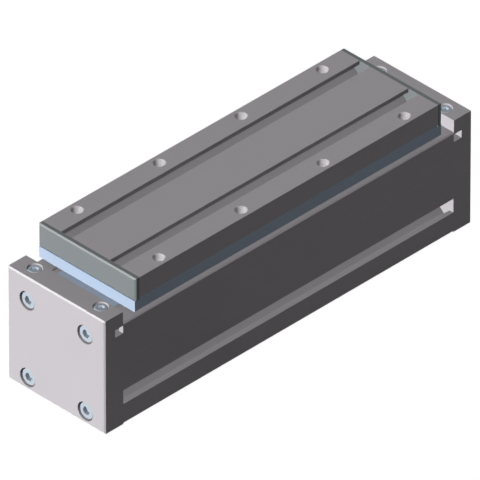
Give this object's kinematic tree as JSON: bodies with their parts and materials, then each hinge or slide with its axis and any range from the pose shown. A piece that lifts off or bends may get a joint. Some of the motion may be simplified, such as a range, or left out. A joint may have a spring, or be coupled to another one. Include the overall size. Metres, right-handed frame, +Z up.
{
  "type": "linear guide",
  "caption": "Covered linear guide: an aluminium profile with end plates, side T slots and a cover strip, and a carriage with a flat table with T slots and threaded holes that slides along it.",
  "frame": {"origin": "bottom centre of the guide, on the surface that it stands on", "axes": "+X along the travel and the length, +Y across, +Z up out of the table; the long side seen in the picture faces -Y and the end seen faces -X"},
  "size_m": [0.36, 0.095, 0.116],
  "materials": {
    "profile": "natural anodised extrusion",
    "end_plate": "natural anodised, milled",
    "screw": "bright zinc plated",
    "bar": "milled",
    "strip": "bright rolled strip",
    "rail": "ground",
    "runner": "ground",
    "runner_cap": "moulded",
    "rubber": "black",
    "saddle": "milled",
    "body": "bright plated",
    "table": "natural anodised, milled",
    "table_cap": "grey",
    "pin": "ground"
  },
  "bodies": {
    "base": {"base_profile": "profile", "end_plate_front": "end_plate", "end_plate_rear": "end_plate", "end_screws_front": "screw", "end_screws_rear": "screw", "strip_clamp_bar_front": "bar", "strip_clamp_bar_rear": "bar", "clamp_screws_front": "screw", "clamp_screws_rear": "screw", "cover_strip": "strip", "guide_rail": "rail", "rail_screws": "screw", "buffer_front": "rubber", "buffer_rear": "rubber"},
    "carriage": {"runner_block_front": "runner", "runner_block_rear": "runner", "runner_end_caps_front": "runner_cap", "runner_end_caps_rear": "runner_cap", "runner_seals_front": "rubber", "runner_seals_rear": "rubber", "saddle": "saddle", "block_screws": "screw", "riser_screws": "screw", "carriage_body": "body", "table_plate": "table", "table_screws": "screw", "table_cap_front": "table_cap", "table_cap_rear": "table_cap", "cap_pins": "pin"}
  },
  "joints": [
    {"name": "carriage_slide", "type": "slide", "parent": "base", "child": "carriage", "axis": [1, 0, 0], "range_m": [-0.01, 0.01]}
  ]
}
